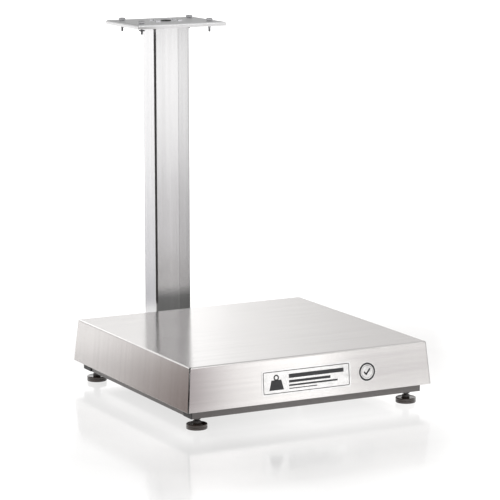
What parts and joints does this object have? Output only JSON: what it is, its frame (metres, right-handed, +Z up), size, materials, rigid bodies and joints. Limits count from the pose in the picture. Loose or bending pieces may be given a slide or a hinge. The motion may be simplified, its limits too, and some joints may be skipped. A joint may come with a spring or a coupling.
{
  "type": "bench scale with column",
  "caption": "Bench scale with a square stainless platter, levelling feet and a rear column that carries a small indicator plate.",
  "frame": {"origin": "on the floor, under the middle of the whole object's box", "axes": "+Z up, +X to the right as seen from the front, +Y to the rear, where the column stands"},
  "size_m": [0.4698, 0.6336, 0.6395],
  "materials": {
    "stainless_sheet": "bright brushed stainless sheet",
    "stainless_tube": "satin stainless tube",
    "frame_steel": "satin stainless tube, darker",
    "bracket_steel": "satin stainless plate",
    "column_steel": "brushed stainless tube, grain along its length",
    "plate_steel": "satin stainless sheet",
    "thumb_screw_steel": "plain steel, knurled head",
    "zinc_fastener": "bright zinc plate",
    "black_steel": "blackened steel",
    "cell_aluminium": "clear anodised",
    "brass_gland": "nickel-free brass, machined",
    "black_rubber": "matt moulded rubber",
    "foot_rubber": "dark hard rubber with a soft sheen",
    "black_plastic": "moulded nylon",
    "label_foil": "silver foil with a black print",
    "label_print": "black print",
    "level_fluid": "tinted liquid",
    "clear_lens": "clear acrylic"
  },
  "bodies": {
    "base": {"rail_front": "frame_steel", "rail_rear": "frame_steel", "rail_left": "frame_steel", "rail_right": "frame_steel", "cell_beam": "frame_steel", "rail_end_plugs": "black_plastic", "foot_bosses": "zinc_fastener", "load_cell": "cell_aluminium", "cell_gland": "brass_gland", "cell_base_spacer": "zinc_fastener", "cell_base_bolts": "zinc_fastener", "overload_stops": "zinc_fastener", "overload_stop_nuts": "zinc_fastener", "level_cup": "cell_aluminium", "level_fluid": "level_fluid", "level_lens": "clear_lens", "rating_plate": "cell_aluminium", "rating_plate_rivets": "zinc_fastener", "rail_grommet": "black_rubber", "column_bracket": "bracket_steel", "bracket_bolts": "zinc_fastener", "bracket_nuts": "zinc_fastener", "column": "column_steel", "column_bolts": "zinc_fastener", "column_nuts": "zinc_fastener", "column_grommet": "black_rubber", "column_cap": "frame_steel", "indicator_plate": "plate_steel", "plate_screws": "zinc_fastener", "plate_grommet": "black_rubber", "indicator_screws": "thumb_screw_steel", "screw_retainers": "black_plastic", "foot_locknuts": "black_steel"},
    "live_frame": {"spider_left_arm": "stainless_tube", "spider_right_arm": "stainless_tube", "spider_cross_beam": "stainless_tube", "spider_rear_tie": "stainless_tube", "spider_end_plugs": "black_plastic", "platter_pads": "black_rubber", "pad_screws": "zinc_fastener", "cell_top_spacer": "zinc_fastener", "spider_bolts": "zinc_fastener"},
    "platter": {"platter": "stainless_sheet", "front_label": "label_foil", "round_seal": "label_foil"},
    "foot_pad_front_left": {"foot_pad_front_left": "foot_rubber"},
    "foot_stud_front_left": {"foot_stud_front_left": "black_steel"},
    "foot_pad_front_right": {"foot_pad_front_right": "foot_rubber"},
    "foot_stud_front_right": {"foot_stud_front_right": "black_steel"},
    "foot_pad_rear_left": {"foot_pad_rear_left": "foot_rubber"},
    "foot_stud_rear_left": {"foot_stud_rear_left": "black_steel"},
    "foot_pad_rear_right": {"foot_pad_rear_right": "foot_rubber"},
    "foot_stud_rear_right": {"foot_stud_rear_right": "black_steel"}
  },
  "joints": [
    {"name": "weigh_travel", "type": "slide", "parent": "base", "child": "live_frame", "axis": [0, 0, 1], "range_m": [-0.0005, 0], "stiffness_N_per_m": 1500000, "springref_m": 0.00004, "deforming": ["load_cell"]},
    {"name": "platter_lift", "type": "slide", "parent": "live_frame", "child": "platter", "axis": [0, 0, 1], "range_m": [0, 0.12]},
    {"name": "foot_height_front_left", "type": "slide", "parent": "base", "child": "foot_pad_front_left", "axis": [0, 0, 1], "range_m": [-0.008, 0.0025]},
    {"name": "foot_turn_front_left", "type": "hinge", "parent": "foot_pad_front_left", "child": "foot_stud_front_left", "pos_m": [-0.2032, -0.28511, 0.0093], "axis": [0, 0, 1], "range_deg": [-2300, 715]},
    {"name": "foot_height_front_right", "type": "slide", "parent": "base", "child": "foot_pad_front_right", "axis": [0, 0, 1], "range_m": [-0.008, 0.0025]},
    {"name": "foot_turn_front_right", "type": "hinge", "parent": "foot_pad_front_right", "child": "foot_stud_front_right", "pos_m": [0.2032, -0.28511, 0.0093], "axis": [0, 0, 1], "range_deg": [-2300, 715]},
    {"name": "foot_height_rear_left", "type": "slide", "parent": "base", "child": "foot_pad_rear_left", "axis": [0, 0, 1], "range_m": [-0.008, 0.0025]},
    {"name": "foot_turn_rear_left", "type": "hinge", "parent": "foot_pad_rear_left", "child": "foot_stud_rear_left", "pos_m": [-0.2032, 0.12129, 0.0093], "axis": [0, 0, 1], "range_deg": [-2300, 715]},
    {"name": "foot_height_rear_right", "type": "slide", "parent": "base", "child": "foot_pad_rear_right", "axis": [0, 0, 1], "range_m": [-0.008, 0.0025]},
    {"name": "foot_turn_rear_right", "type": "hinge", "parent": "foot_pad_rear_right", "child": "foot_stud_rear_right", "pos_m": [0.2032, 0.12129, 0.0093], "axis": [0, 0, 1], "range_deg": [-2300, 715]}
  ],
  "couplings": [
    {"joint": "foot_height_front_left", "follows": "foot_turn_front_left", "m_per_rad": 0.00019894},
    {"joint": "foot_height_front_right", "follows": "foot_turn_front_right", "m_per_rad": 0.00019894},
    {"joint": "foot_height_rear_left", "follows": "foot_turn_rear_left", "m_per_rad": 0.00019894},
    {"joint": "foot_height_rear_right", "follows": "foot_turn_rear_right", "m_per_rad": 0.00019894}
  ]
}
